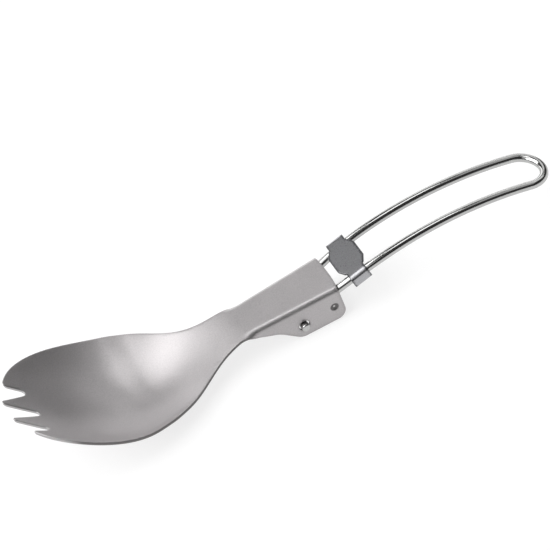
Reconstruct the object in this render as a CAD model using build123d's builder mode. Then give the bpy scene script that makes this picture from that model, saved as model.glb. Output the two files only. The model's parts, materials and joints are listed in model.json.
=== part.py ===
"""A folding spork: a stamped sheet with bowl, tines and hinge channel, a bent wire handle and a lock clip."""

import os
from math import asin, atan2, cos, degrees, hypot, pi, radians, sin, sqrt, tan

from build123d import *

# All sizes are millimetres. Along the neck, x = 0 is the pivot, +x runs towards the handle's loop and
# z = 0 is the neck plate's top face. The finished spork stands on the table plane, see "Resting pose".

# ---- Sheet body: bowl ----
sheet = 0.92  # thickness of the stamped sheet
bowl_depth = 7.5  # how far the bowl's floor lies below the neck plate
slope_start_x = -15.0  # where the neck starts to fall towards the bowl
floor_start_x = -46.0  # where the neck's fall reaches the bowl's floor
toe_start_x = -50.0  # where the floor starts to rise towards the tines
toe_slope = 1.11  # rise per length that the toe tends to
toe_softness = 20.0  # length over which the toe's rise sets in
cup_start_x = -20.0  # where the cross-section starts to cup
cup_full_x = -45.0  # where it is fully cupped
cup = 0.0172  # rise of the cupped section per square of half width
bowl_width = 44.6  # widest part of the bowl
widest_x = -57.5  # where it is that wide

# ---- Sheet body: tines ----
inner_tip = (-85.5, 3.7)  # corners, before they are rounded
outer_tip = (-81.3, 10.5)
outer_notch = (-74.4, 8.6)
middle_notch = (-73.6, 0.0)
shoulder = (-76.1, 16.7)  # where the outer tine leaves the bowl's round outline
tip_round = 0.9
tip_cut = 1.46  # length that the rounding takes off the inner tines, which centres the spork
notch_round = 1.2

# ---- Sheet body: hinge channel ----
channel_start_x = slope_start_x
channel_start_width = 13.2
plate_end_x = 12.9
plate_facing = 0.002  # faced off the plate's top, which makes it a true plane
flange_depth = 10.8  # from the plate's top face to the flange's lower edge
bend_inner = 0.9  # inside radius of the fold
end_lean = 0.4  # how far the flange's lower end sits behind the plate's end
flange_corner = 2.8
pivot_boss = 3.95  # radius of the flange round the pivot hole
edge_rise = 1.3  # how far the flange's rear edge bows up

# ---- Wire handle ----
wire = 2.48  # wire diameter
arch_radius = 105.0  # side-view radius of the handle's centre line
leg_pitch = 23.2  # degrees that the legs rise at the pivot
leg_length = 75.9  # along the arch, from the pivot to the end loop
leg_half_gap = 6.45  # centre line to middle, where the legs run parallel
leg_half_gap_at_pivot = 4.0
flare_length = 30.0  # along the arch, until the legs run parallel
pin_bend = 2.0  # centre-line radius of the turn from leg to pin
pin_out = 1.4  # how far a pin stands out of its flange
pin_chamfer = 0.35
pivot_clearance = 0.2  # radial, wire in its flange hole
plate_clearance = 0.1  # between an open leg and the plate's end above it
flange_clearance = 0.064  # between a leg and the flange beside it, at the plate's end

# ---- Detent dimples ----
dimple_centre = (9.65, -5.85)
dimple_width = 2.3
dimple_depth = 0.45
detent_width = 1.5
detent_height = 0.12

# ---- Lock clip ----
clip_sheet = 0.7
clip_place = 20.7  # along the arch, clip centre in the drawn position
clip_arm = 5.6  # arm length along the wire
clip_lobe = 8.8  # lobe length along the wire
clip_lobe_width = 5.3  # width of the lobe's straight ends
clip_shoulder_width = 10.6  # where the lobe meets the arms
clip_clearance = 0.2  # between the clip and the wire it wraps
clip_fold = 0.7  # inside radius of the arms' folds
clip_lip = 1.7  # width of the lips under the wire, measured outside

# ---- Worked out from the above ----
wire_radius = wire / 2
bend_outer = bend_inner + sheet
pitch = radians(leg_pitch)
arch_x = arch_radius * sin(pitch)
arch_z = -sheet - sqrt((arch_radius + wire_radius + plate_clearance) ** 2 - (arch_x - plate_end_x) ** 2)
pivot_z = arch_z + arch_radius * cos(pitch)
loop_tilt = pitch - leg_length / arch_radius


def arch_point(length, half_gap):
    """Point of the handle's centre line at a length along the arch, that far from the middle."""
    angle = pitch - length / arch_radius
    return (arch_x - arch_radius * sin(angle), half_gap, arch_z + arch_radius * cos(angle))


def half_gap_at(length):
    """Centre-line distance of a leg from the middle: the legs flare from the pivot until they are parallel."""
    left = max(0.0, 1 - length / flare_length)
    return leg_half_gap - (leg_half_gap - leg_half_gap_at_pivot) * left**2


plate_end_length = (pitch - asin((arch_x - plate_end_x) / arch_radius)) * arch_radius
plate_end_width = 2 * (half_gap_at(plate_end_length) + wire_radius + flange_clearance + sheet)


def smooth_step(value):
    """0 below 0, 1 above 1 and a smooth rise between."""
    t = min(max(value, 0.0), 1.0)
    return t * t * (3 - 2 * t)


def bowl_height(x, y):
    """Height of the bowl's inner face at a place in plan."""
    fall = bowl_depth * smooth_step((slope_start_x - x) / (slope_start_x - floor_start_x))
    run = max(0.0, toe_start_x - x)
    rise = toe_slope * (hypot(run, toe_softness) - toe_softness)
    return rise - fall + cup * smooth_step((cup_start_x - x) / (cup_start_x - cup_full_x)) * y * y


# ---- Resting pose: the bowl's floor, where it turns up into the toe, and both pivot bosses touch the table ----
loop_end = arch_point(leg_length, 0)
toe_radius = toe_softness / toe_slope
toe_centre_z = toe_radius - bowl_depth
roller_gap = hypot(toe_start_x, toe_centre_z - pivot_z)
table_tilt = asin((toe_radius + sheet - pivot_boss) / roller_gap) - atan2(toe_centre_z - pivot_z, -toe_start_x)
neck_height = pivot_boss - pivot_z * cos(table_tilt)
tip_height = bowl_height(*inner_tip)
tip_reach = (inner_tip[0] + tip_cut) * cos(table_tilt) + tip_height * sin(table_tilt)
loop_reach = loop_end[0] * cos(table_tilt) + loop_end[2] * sin(table_tilt) + leg_half_gap + wire_radius
middle_x = (tip_reach + loop_reach) / 2
along = Vector(cos(table_tilt), 0, -sin(table_tilt))
upward = Vector(sin(table_tilt), 0, cos(table_tilt))
neck_top = Plane(origin=(-middle_x, 0, neck_height), x_dir=along, z_dir=upward)
neck_side = Plane(origin=neck_top.origin, x_dir=along, z_dir=(0, -1, 0))


def on_neck(x, y, z):
    """Place in the table frame of a point that is given along, across and above the neck."""
    return neck_top.from_local_coords((x, y, z))


def heading(x, y, z):
    """Direction in the table frame of one that is given along, across and above the neck."""
    return on_neck(x, y, z) - neck_top.origin


def across(x):
    """Plane that cuts the neck square at a place: its x is the width and its y is the height."""
    return Plane(origin=on_neck(x, 0, 0), x_dir=(0, 1, 0), z_dir=along)


# ---- Bowl and tines ----
grid_step = 2.0
grid_overhang = 3.0
grid_start_x = inner_tip[0] - grid_overhang
grid_columns = 2 + int((channel_start_x - grid_start_x) / grid_step)
grid_rows = 2 + int((bowl_width / 2 + grid_overhang) / grid_step)
bowl_grid = [
    [
        on_neck(x, y, bowl_height(x, y))
        for y in (row * grid_step for row in range(-grid_rows, grid_rows + 1))
    ]
    for x in (grid_start_x + column * grid_step for column in range(grid_columns + 1))
]
inner_face = Face.make_surface_from_array_of_points(bowl_grid, tol=0.002)

with BuildSketch(neck_top) as bowl_plan:
    with BuildLine():
        flank = Spline(
            (channel_start_x, channel_start_width / 2),
            (-24.1, 8.2),
            (-31.6, 11.5),
            (-39.0, 16.7),
            (-46.4, 20.5),
            (widest_x, bowl_width / 2),
            (-68.7, 20.6),
            shoulder,
            tangents=((-1, 0.05), (-1, -0.75)),
        )
        toe = TangentArc(shoulder, outer_tip, tangent=flank % 1)
        Polyline(outer_tip, outer_notch, inner_tip, middle_notch)
        Line(middle_notch, (channel_start_x, 0))
        Line((channel_start_x, 0), (channel_start_x, channel_start_width / 2))
    make_face()
    mirror(about=Plane.XZ)
    for side in (-1, 1):
        for spot, rounding in (
            (inner_tip, tip_round),
            (outer_tip, tip_round),
            (outer_notch, notch_round),
        ):
            corner = bowl_plan.vertices().sort_by_distance(on_neck(spot[0], side * spot[1], 0))[0]
            fillet(corner, rounding)
    fillet(bowl_plan.vertices().sort_by_distance(on_neck(*middle_notch, 0))[0], notch_round)
with BuildPart() as bowl:
    thicken(to_thicken=inner_face, amount=-sheet)
    extrude(bowl_plan.sketch, amount=bowl_width, both=True, mode=Mode.INTERSECT)

# ---- Hinge channel: the neck plate with a flange folded down on each side ----
def channel_section(x, width):
    """Outline of the folded sheet, cut square to the neck at a place."""
    with BuildSketch(across(x)) as section:
        with Locations((0, -flange_depth)):
            Rectangle(width, 2 * flange_depth)
        fillet(section.vertices().group_by(Axis.Z)[-1], bend_outer)
        with BuildSketch(mode=Mode.PRIVATE) as hollow:
            with Locations((0, -sheet - flange_depth)):
                Rectangle(width - 2 * sheet, 2 * flange_depth)
            fillet(hollow.vertices().group_by(Axis.Y)[-1], bend_inner)
        add(hollow.sketch, mode=Mode.SUBTRACT)
    return section.sketch


boss_angle = radians(225)
boss_leave = (pivot_boss * cos(boss_angle), pivot_z + pivot_boss * sin(boss_angle))
rear_start = (channel_start_x, -bend_outer)
rear_middle = (
    (rear_start[0] + boss_leave[0]) / 2 + edge_rise / 2,
    (rear_start[1] + boss_leave[1]) / 2 + edge_rise,
)
with BuildSketch(neck_side) as flange_outline:
    with BuildLine():
        Spline(rear_start, rear_middle, boss_leave, tangents=((1, -0.45), (1, -1)))
        ThreePointArc(
            boss_leave,
            (pivot_boss * cos(radians(247.5)), pivot_z + pivot_boss * sin(radians(247.5))),
            (0, pivot_z - pivot_boss),
        )
        FilletPolyline(
            (0, pivot_z - pivot_boss),
            (plate_end_x - end_lean, -flange_depth),
            (plate_end_x, -sheet),
            (plate_end_x, -plate_facing),
            radius=[flange_corner, sheet / 4],
        )
        Polyline((plate_end_x, -plate_facing), (channel_start_x, -plate_facing), rear_start)
    make_face()
with BuildPart() as channel:
    add(channel_section(channel_start_x, channel_start_width))
    add(channel_section(plate_end_x, plate_end_width))
    loft()
    extrude(flange_outline.sketch, amount=plate_end_width, both=True, mode=Mode.INTERSECT)


def channel_width(x):
    """Outside width of the tapered channel at a place."""
    share = (x - channel_start_x) / (plate_end_x - channel_start_x)
    return channel_start_width + share * (plate_end_width - channel_start_width)


dimple_face = channel_width(dimple_centre[0]) / 2
dimple_ball = (dimple_width**2 / 4 + dimple_depth**2) / (2 * dimple_depth)
with BuildPart() as spork_body:
    add(bowl.part)
    add(channel.part)
    for side in (-1, 1):
        with BuildSketch(neck_side.offset(side * (dimple_face - sheet / 2))):
            with Locations(dimple_centre):
                Circle(detent_width / 2)
        extrude(amount=-side * (sheet / 2 + detent_height))
        ball_y = side * (dimple_face + dimple_ball - dimple_depth)
        with Locations(on_neck(dimple_centre[0], ball_y, dimple_centre[1])):
            Sphere(dimple_ball, mode=Mode.SUBTRACT)
    with BuildSketch(neck_side):
        with Locations((0, pivot_z)):
            Circle(wire_radius + pivot_clearance)
    extrude(amount=plate_end_width, both=True, mode=Mode.SUBTRACT)

# ---- Wire handle: one bent wire, from pin to pin round the end loop ----
leg_yaw = atan2(2 * (leg_half_gap - leg_half_gap_at_pivot), flare_length)
leg_rise = heading(cos(pitch) * cos(leg_yaw), sin(leg_yaw), sin(pitch) * cos(leg_yaw))
turn_length = pin_bend * tan((pi / 2 + leg_yaw) / 2)
pin_corner = on_neck(0, leg_half_gap_at_pivot, pivot_z)
pin_tip = on_neck(0, channel_width(0) / 2 + pin_out, pivot_z)
outward = Vector(0, 1, 0)
parallel_tilt = pitch - flare_length / arch_radius
parallel_rise = heading(cos(parallel_tilt), 0, sin(parallel_tilt))
loop_rise = heading(cos(loop_tilt), 0, sin(loop_tilt))
flare_stops = [flare_length * share for share in (0.35, 0.65, 1.0)]
leg_stops = [flare_length, (flare_length + leg_length) / 2, leg_length]
with BuildPart() as wire_handle:
    with BuildLine() as centre_line:
        Line(pin_tip, pin_corner + outward * turn_length)
        turn = TangentArc(
            pin_corner + outward * turn_length, pin_corner + leg_rise * turn_length, tangent=-outward
        )
        Spline(
            turn @ 1,
            *[on_neck(*arch_point(stop, half_gap_at(stop))) for stop in flare_stops],
            tangents=(leg_rise, parallel_rise),
        )
        leg = ThreePointArc(*[on_neck(*arch_point(stop, leg_half_gap)) for stop in leg_stops])
        TangentArc(leg @ 1, on_neck(*loop_end) + loop_rise * leg_half_gap, tangent=loop_rise)
        mirror(about=Plane.XZ)
    path = centre_line.wire()
    with BuildSketch(Plane(origin=pin_tip, z_dir=-outward)):
        Circle(wire_radius)
    sweep(path=path)
    pin_ends = edges().filter_by(GeomType.CIRCLE).sort_by(Axis.Y)
    chamfer([pin_ends[0], pin_ends[-1]], pin_chamfer)

# ---- Lock clip: a flat lobe with an arm folded round each leg ----
clip_tilt = pitch - clip_place / arch_radius
clip_plane = Plane(
    origin=on_neck(*arch_point(clip_place, 0)),
    x_dir=heading(cos(clip_tilt), 0, sin(clip_tilt)),
    z_dir=heading(-sin(clip_tilt), 0, cos(clip_tilt)),
)
clip_section = Plane(origin=clip_plane.origin, x_dir=(0, 1, 0), z_dir=clip_plane.x_dir)
hollow_height = wire + 2 * clip_clearance
hollow_width = 2 * leg_half_gap + wire + 2 * clip_clearance
clip_height = hollow_height + 2 * clip_sheet
clip_width = hollow_width + 2 * clip_sheet
with BuildPart() as lock_slider:
    with BuildSketch(clip_section):
        RectangleRounded(clip_width, clip_height, clip_fold + clip_sheet)
        RectangleRounded(hollow_width, hollow_height, clip_fold, mode=Mode.SUBTRACT)
        with Locations((0, -clip_height / 2)):
            Rectangle(clip_width - 2 * clip_lip, clip_height, mode=Mode.SUBTRACT)
    extrude(amount=clip_arm / 2, both=True)
    with BuildSketch(clip_plane.offset(hollow_height / 2)):
        with BuildLine():
            Polyline(
                (0, clip_shoulder_width / 2),
                (clip_arm / 2, clip_shoulder_width / 2),
                (clip_lobe / 2, clip_lobe_width / 2),
                (clip_lobe / 2, 0),
                (0, 0),
                (0, clip_shoulder_width / 2),
            )
        make_face()
        mirror(about=Plane.XZ)
        mirror(about=Plane.YZ)
    extrude(amount=clip_sheet)

os.makedirs("parts", exist_ok=True)
spork_body.part.label = "spork_body"
wire_handle.part.label = "wire_handle"
lock_slider.part.label = "lock_slider"
export_step(spork_body.part, "parts/spork_body.step")
export_step(wire_handle.part, "parts/wire_handle.step")
export_step(lock_slider.part, "parts/lock_slider.step")

print("pivot", on_neck(0, 0, pivot_z), "neck plate", neck_top.origin, "normal", upward)
print("arch centre", on_neck(arch_x, 0, arch_z), "neck pitch", round(-degrees(table_tilt), 3), "degrees")
print("pin tips at y", round(pin_tip.Y, 3), "clip centre", clip_plane.origin)
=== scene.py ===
"""Looks of a folding spork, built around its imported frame. Every length is in metres."""

import json
import logging
import math
from dataclasses import dataclass
from enum import Enum
from typing import ClassVar

import bpy
import numpy as np
from mathutils import Matrix, Vector
from mathutils.geometry import delaunay_2d_cdt


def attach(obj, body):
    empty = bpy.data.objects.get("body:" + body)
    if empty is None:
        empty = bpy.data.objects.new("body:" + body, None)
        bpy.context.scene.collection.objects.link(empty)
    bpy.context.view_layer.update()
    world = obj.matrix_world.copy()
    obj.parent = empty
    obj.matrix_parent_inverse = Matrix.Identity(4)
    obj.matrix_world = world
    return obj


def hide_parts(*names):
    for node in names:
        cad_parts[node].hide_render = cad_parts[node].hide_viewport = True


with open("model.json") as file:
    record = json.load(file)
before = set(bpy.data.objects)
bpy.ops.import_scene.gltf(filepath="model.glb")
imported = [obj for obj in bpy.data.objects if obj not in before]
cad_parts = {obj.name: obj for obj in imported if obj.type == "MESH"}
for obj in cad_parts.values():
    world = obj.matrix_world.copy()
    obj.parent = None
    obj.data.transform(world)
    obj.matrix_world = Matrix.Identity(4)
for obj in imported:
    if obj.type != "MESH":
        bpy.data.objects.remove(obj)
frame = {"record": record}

Socket = bpy.types.NodeSocket

LOG = logging.getLogger("spork")
MM = 0.001
# Mesh value for worn tines and for painted highlights on edges, folds and dimples.
WEAR_AND_HIGHLIGHT_ATTRIBUTE = "wear_and_painted_highlight"
# Mesh value for painted shade on cut faces, along the faces' edges and on the dimples' sides.
PAINTED_SHADE_ATTRIBUTE = "painted_shade"
ALONG_ATTRIBUTE = "wire_along"
AROUND_ATTRIBUTE = "wire_around"
NOISE_SPAN = (0.3, 0.7)


# ---------------------------------------------------------------- frame and plain geometry


@dataclass(frozen=True)
class NeckFrame:
    """The neck's own axes: x from the pivot towards the loop, y across, z up from the neck plate's face."""

    origin: np.ndarray
    along: np.ndarray
    upward: np.ndarray

    @classmethod
    def from_record(cls, record: dict) -> "NeckFrame":
        """Reads the neck's place from the plate's mount and the fold joint.

        Args:
            record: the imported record.

        Returns:
            The frame whose origin lies on the plate's face, straight above the pivot.
        """
        plate = next(m for m in record["mounts"] if m["name"] == "neck_plate")
        fold = next(j for j in record["behaviour"]["joints"] if j["name"] == "handle_fold")
        upward = np.array(plate["axis"], float)
        upward /= np.linalg.norm(upward)
        along = np.array([upward[2], 0.0, -upward[0]])
        pivot = np.array(fold["pos_m"], float)
        depth = (np.array(plate["pos_m"], float) - pivot) @ upward
        return cls(pivot + depth * upward, along, upward)

    def place(self, points: np.ndarray) -> np.ndarray:
        """Turns neck coordinates into table coordinates.

        Args:
            points: rows of neck coordinates.

        Returns:
            Rows of table coordinates.
        """
        x, y, z = points.T
        across = np.array([0.0, 1.0, 0.0])
        return self.origin + np.outer(x, self.along) + np.outer(y, across) + np.outer(z, self.upward)

    def depth_of(self, point: np.ndarray) -> float:
        """Height of a table point above the neck plate's face."""
        return float((np.asarray(point, float) - self.origin) @ self.upward)


def spread(middle: float, half: float) -> tuple:
    """A range given by its middle and half its width."""
    return middle - half, middle + half


def smooth_step(value: np.ndarray) -> np.ndarray:
    """0 below 0, 1 above 1 and a smooth rise between."""
    t = np.clip(value, 0.0, 1.0)
    return t * t * (3 - 2 * t)


def curve_through(points: list, first: tuple, last: tuple, spacing: float) -> np.ndarray:
    """Smooth curve through a few points.

    Args:
        points: the places that it passes, in order.
        first: its heading at the first point.
        last: its heading at the last point.
        spacing: rough distance between the returned points.

    Returns:
        Points along the curve, both ends included.
    """
    knots = np.array(points, float)
    chords = np.linalg.norm(np.diff(knots, axis=0), axis=1)
    count = len(knots)
    system = np.zeros((count, count))
    wanted = np.zeros_like(knots)
    system[0, 0] = system[-1, -1] = 1
    wanted[0] = np.array(first) / np.linalg.norm(first)
    wanted[-1] = np.array(last) / np.linalg.norm(last)
    for i in range(1, count - 1):
        before, after = chords[i - 1], chords[i]
        system[i, i - 1 : i + 2] = after, 2 * (before + after), before
        wanted[i] = 3 * (
            after * (knots[i] - knots[i - 1]) / before + before * (knots[i + 1] - knots[i]) / after
        )
    slopes = np.linalg.solve(system, wanted)
    rows = []
    for i, chord in enumerate(chords):
        t = np.linspace(0, 1, max(2, int(round(chord / spacing)) + 1))[:, None]
        part = (2 * t**3 - 3 * t**2 + 1) * knots[i] + (t**3 - 2 * t**2 + t) * chord * slopes[i]
        part += (3 * t**2 - 2 * t**3) * knots[i + 1] + (t**3 - t**2) * chord * slopes[i + 1]
        rows.append(part if i == len(chords) - 1 else part[:-1])
    return np.vstack(rows)


def ring(radius: float, count: int, turns: int = 1) -> np.ndarray:
    """Points spread round a circle.

    Args:
        radius: its radius.
        count: how many points there are.
        turns: 1 runs counter-clockwise, -1 clockwise.

    Returns:
        Rows of points round the flat origin.
    """
    angles = np.linspace(0, turns * 2 * math.pi, count + 1)[:-1]
    return np.c_[np.cos(angles), np.sin(angles)] * radius


def arc(centre: tuple, radius: float, start: float, end: float, spacing: float) -> np.ndarray:
    """Points of a circular arc.

    Args:
        centre: its centre.
        radius: its radius.
        start: angle of the first point, in radians.
        end: angle of the last point, in radians.
        spacing: rough distance between the points.

    Returns:
        Rows of points, both ends included.
    """
    count = max(5, int(abs(end - start) * radius / spacing) + 1)
    angles = np.linspace(start, end, count)
    return np.array(centre) + radius * np.c_[np.cos(angles), np.sin(angles)]


def short_arc(
    centre: np.ndarray, radius: float, first: np.ndarray, last: np.ndarray, spacing: float
) -> np.ndarray:
    """Arc that turns the shorter way from one point to another.

    Args:
        centre: its centre.
        radius: its radius.
        first: where it starts, seen from the centre.
        last: where it ends, seen from the centre.
        spacing: rough distance between the points.

    Returns:
        Rows of points, both ends included.
    """
    begin = math.atan2(first[1], first[0])
    turn = (math.atan2(last[1], last[0]) - begin + math.pi) % (2 * math.pi) - math.pi
    return arc(centre, radius, begin, begin + turn, spacing)


def rounded_corner(before: tuple, corner: tuple, after: tuple, radius: float, spacing: float) -> np.ndarray:
    """Arc that rounds a corner.

    Args:
        before: the point that the corner is reached from.
        corner: the sharp corner.
        after: the point that the outline goes on to.
        radius: the rounding's radius.
        spacing: rough distance between the points.

    Returns:
        Points of the arc, from the side of `before` to the side of `after`.
    """
    here = np.array(corner, float)
    back = np.array(before, float) - here
    ahead = np.array(after, float) - here
    back /= np.linalg.norm(back)
    ahead /= np.linalg.norm(ahead)
    half = math.acos(float(np.clip(back @ ahead, -1, 1))) / 2
    middle = (back + ahead) / np.linalg.norm(back + ahead)
    centre = here + middle * radius / math.sin(half)
    reach = radius / math.tan(half)
    start, end = here + back * reach - centre, here + ahead * reach - centre
    return short_arc(centre, radius, start, end, spacing)


def evenly(points: np.ndarray, spacing: float) -> np.ndarray:
    """Fills the long steps of an outline.

    Args:
        points: the outline's points, in order.
        spacing: rough distance between the filled-in points.

    Returns:
        The outline with the points filled in.
    """
    rows = []
    for here, there in zip(points[:-1], points[1:]):
        count = max(1, int(round(np.linalg.norm(there - here) / spacing)))
        rows += [here + (there - here) * k / count for k in range(count)]
    rows.append(points[-1])
    return np.array(rows)


def loop_normals(loop: np.ndarray) -> np.ndarray:
    """Unit normals of a closed flat loop.

    Args:
        loop: its points, in order.

    Returns:
        One normal for each point, to the left of the loop's direction.
    """
    heading = np.roll(loop, -1, axis=0) - np.roll(loop, 1, axis=0)
    heading /= np.linalg.norm(heading, axis=1)[:, None]
    return np.c_[-heading[:, 1], heading[:, 0]]


def inside_loop(points: np.ndarray, loop: np.ndarray) -> np.ndarray:
    """Tells which points lie inside a closed loop.

    Args:
        points: flat points.
        loop: the loop's points, in order.

    Returns:
        True for each point inside.
    """
    x, y = points.T
    within = np.zeros(len(points), bool)
    for (x0, y0), (x1, y1) in zip(loop, np.roll(loop, -1, axis=0)):
        crosses = (y0 > y) != (y1 > y)
        if y0 != y1:
            within ^= crosses & (x < (x1 - x0) * (y - y0) / (y1 - y0) + x0)
    return within


def distance_to_loop(points: np.ndarray, loop: np.ndarray) -> np.ndarray:
    """Distance from each point to the nearest point of a dense loop.

    Args:
        points: flat points.
        loop: the loop's points.

    Returns:
        One distance for each point.
    """
    nearest = np.full(len(points), np.inf)
    at_once = 64
    for start in range(0, len(loop), at_once):
        step = points[:, None, :] - loop[None, start : start + at_once, :]
        nearest = np.minimum(nearest, np.sqrt((step**2).sum(2)).min(1))
    return nearest


# ---------------------------------------------------------------- objects and node trees


def put_in_scene(name: str, data: bpy.types.ID) -> bpy.types.Object:
    """Makes an object and puts it in the scene.

    Args:
        name: its name.
        data: its mesh, light or camera.

    Returns:
        The object, at the origin.
    """
    made = bpy.data.objects.new(name, data)
    bpy.context.scene.collection.objects.link(made)
    return made


class NodeTree:
    """A node tree, with short calls for adding nodes and joining them."""

    def __init__(self, tree: bpy.types.NodeTree) -> None:
        """Takes over the tree that the nodes go into."""
        self.tree = tree

    def feed(self, node: bpy.types.Node, values: dict) -> bpy.types.Node:
        """Fills a node's inputs.

        Args:
            node: the node.
            values: by an input's number or name, its value, a colour of three numbers or the output to join.

        Returns:
            The same node.
        """
        for key, value in values.items():
            socket = node.inputs[key]
            if isinstance(value, Socket):
                self.tree.links.new(value, socket)
            else:
                socket.default_value = (*value, 1) if socket.type == "RGBA" else value
        return node

    def add(self, kind: str, values: dict | None = None, **settings: object) -> bpy.types.Node:
        """Adds a node.

        Args:
            kind: the node's type.
            values: what its inputs get, as in `feed`.
            settings: its own properties by name.

        Returns:
            The new node.
        """
        node = self.tree.nodes.new(kind)
        for key, value in settings.items():
            setattr(node, key, value)
        return self.feed(node, values or {})

    def maths(self, operation: str, *values: object) -> Socket:
        """Adds a maths node.

        Args:
            operation: what it works out.
            values: what it works on, outputs or numbers.

        Returns:
            The result.
        """
        return self.add("ShaderNodeMath", dict(enumerate(values)), operation=operation).outputs[0]


# ---------------------------------------------------------------- finishes


class Lines(Enum):
    """Which way the fine pattern of a finish is drawn out."""

    EVEN = (1.0, 1.0, 1.0)
    ALONG = (0.06, 1.0, 1.0)


class NodeSheet(NodeTree):
    """A material's node tree, with short calls for its patterns."""

    def __init__(self, name: str) -> None:
        """Makes an empty material with its output and shader.

        Args:
            name: its name.
        """
        self.material = bpy.data.materials.new(name)
        self.material.use_nodes = True
        super().__init__(self.material.node_tree)
        self.shader = self.tree.nodes["Principled BSDF"]

    def place(self) -> Socket:
        """The object's own coordinates."""
        return self.add("ShaderNodeTexCoord").outputs["Object"]

    def attribute(self, name: str) -> Socket:
        """Reads one of the mesh's own values."""
        return self.add("ShaderNodeAttribute", attribute_name=name).outputs["Fac"]

    def ramp(self, source: Socket, out: tuple = (0, 1), span: tuple = NOISE_SPAN) -> Socket:
        """Maps a value's range onto another, clamped.

        Args:
            source: the value.
            out: what the ends of its range become.
            span: the ends of its range; a noise's if not given.

        Returns:
            The mapped value.
        """
        return self.add("ShaderNodeMapRange", dict(enumerate((source, *span, *out)))).outputs[0]

    def mixed(self, factor: Socket, first: object, second: tuple) -> Socket:
        """Mixes two colours.

        Args:
            factor: 0 shows the first colour, 1 the second.
            first: three numbers, or an output.
            second: three numbers.

        Returns:
            The mixed colour.
        """
        return self.add("ShaderNodeMix", {0: factor, 6: first, 7: second}, data_type="RGBA").outputs[2]

    def noise(
        self, place: Socket, size: float, detail: float, lines: Lines = Lines.EVEN
    ) -> Socket:
        """Adds a noise pattern.

        Args:
            place: the coordinates that it follows.
            size: about how wide its features are.
            detail: how many finer layers it has.
            lines: which way it is drawn out.

        Returns:
            The pattern's value.
        """
        mapping = self.add("ShaderNodeMapping", {"Vector": place, "Scale": lines.value})
        values = {"Vector": mapping.outputs[0], "Scale": 1 / size, "Detail": detail}
        return self.add("ShaderNodeTexNoise", values).outputs["Fac"]

    def metal(
        self,
        colour: Socket,
        roughness: Socket,
        height: Socket,
        depth: float,
        strength: float,
    ) -> bpy.types.Material:
        """Finishes the material as bare metal.

        Args:
            colour: its colour.
            roughness: its roughness.
            height: the pattern in its surface.
            depth: how deep that pattern is.
            strength: how much of it shows.

        Returns:
            The material.
        """
        bump = self.add("ShaderNodeBump", {"Strength": strength, "Distance": depth, "Height": height})
        self.feed(self.shader, {"Base Color": colour, "Roughness": roughness, "Normal": bump.outputs[0]})
        self.shader.inputs["Metallic"].default_value = 1.0
        return self.material


@dataclass(frozen=True)
class BlastedTitanium:
    """Bead-blasted sheet: an even fine grain, slight clouding, worn tines, painted highlights and painted
    shade.
    """

    dark: tuple = (0.372, 0.358, 0.363)
    light: tuple = (0.506, 0.487, 0.492)
    # Brighter colour for the worn tines and the painted highlights on edges, folds and dimples.
    edge: tuple = (0.66, 0.65, 0.65)
    # Dark colour of the painted shade on cut faces, along edges and on the dimples' sides.
    cut: tuple = (0.15, 0.144, 0.144)
    roughness: float = 0.47
    roughness_spread: float = 0.07
    edge_roughness: float = 0.26
    grain: float = 0.32 * MM
    cloud: float = 14 * MM
    grain_share: float = 0.7
    grain_depth: float = 0.035 * MM
    grain_strength: float = 0.6

    def material(self) -> bpy.types.Material:
        """Builds the node material.

        Returns:
            The material.
        """
        sheet = NodeSheet("blasted_titanium")
        place = sheet.place()
        grain = sheet.noise(place, self.grain, 2)
        cloud = sheet.noise(place, self.cloud, 3)
        speckle = sheet.maths("MULTIPLY", grain, self.grain_share)
        shade = sheet.maths("MULTIPLY_ADD", cloud, 1 - self.grain_share, speckle)
        # Worn tines plus painted highlights, read from the mesh; they also make the surface less rough.
        wear_and_highlight = sheet.attribute(WEAR_AND_HIGHLIGHT_ATTRIBUTE)
        body = sheet.mixed(sheet.ramp(shade), self.dark, self.light)
        # Painted shade on cut faces, along edges and on the dimples' sides.
        body = sheet.mixed(sheet.attribute(PAINTED_SHADE_ATTRIBUTE), body, self.cut)
        body = sheet.mixed(wear_and_highlight, body, self.edge)
        matt = sheet.ramp(grain, spread(self.roughness, self.roughness_spread))
        rough = sheet.add("ShaderNodeMix", {0: wear_and_highlight, 2: matt, 3: self.edge_roughness}, data_type="FLOAT")
        return sheet.metal(body, rough.outputs[0], grain, self.grain_depth, self.grain_strength)


@dataclass(frozen=True)
class PolishedWire:
    """Drawn and polished wire: bright, with faint lines that follow its length."""

    dark: tuple = (0.44, 0.44, 0.435)
    light: tuple = (0.50, 0.50, 0.495)
    roughness: float = 0.14
    roughness_spread: float = 0.02
    pattern_length: float = 30.0
    pattern_girth: float = 6.0
    line: float = 0.12
    tone: float = 2.0
    line_depth: float = 0.0004 * MM
    line_strength: float = 0.5

    def material(self) -> bpy.types.Material:
        """Builds the node material.

        Returns:
            The material.
        """
        sheet = NodeSheet("polished_titanium_wire")
        along = sheet.ramp(sheet.attribute(ALONG_ATTRIBUTE), (0, self.pattern_length), (0, 1))
        around = sheet.ramp(sheet.attribute(AROUND_ATTRIBUTE), (0, self.pattern_girth), (0, 1))
        place = sheet.add("ShaderNodeCombineXYZ", {0: along, 1: around}).outputs[0]
        lines = sheet.noise(place, self.line, 2)
        tone = sheet.noise(place, self.tone, 2)
        rough = sheet.ramp(lines, spread(self.roughness, self.roughness_spread), (0.25, 0.75))
        body = sheet.mixed(sheet.ramp(tone), self.dark, self.light)
        return sheet.metal(body, rough, lines, self.line_depth, self.line_strength)


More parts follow.
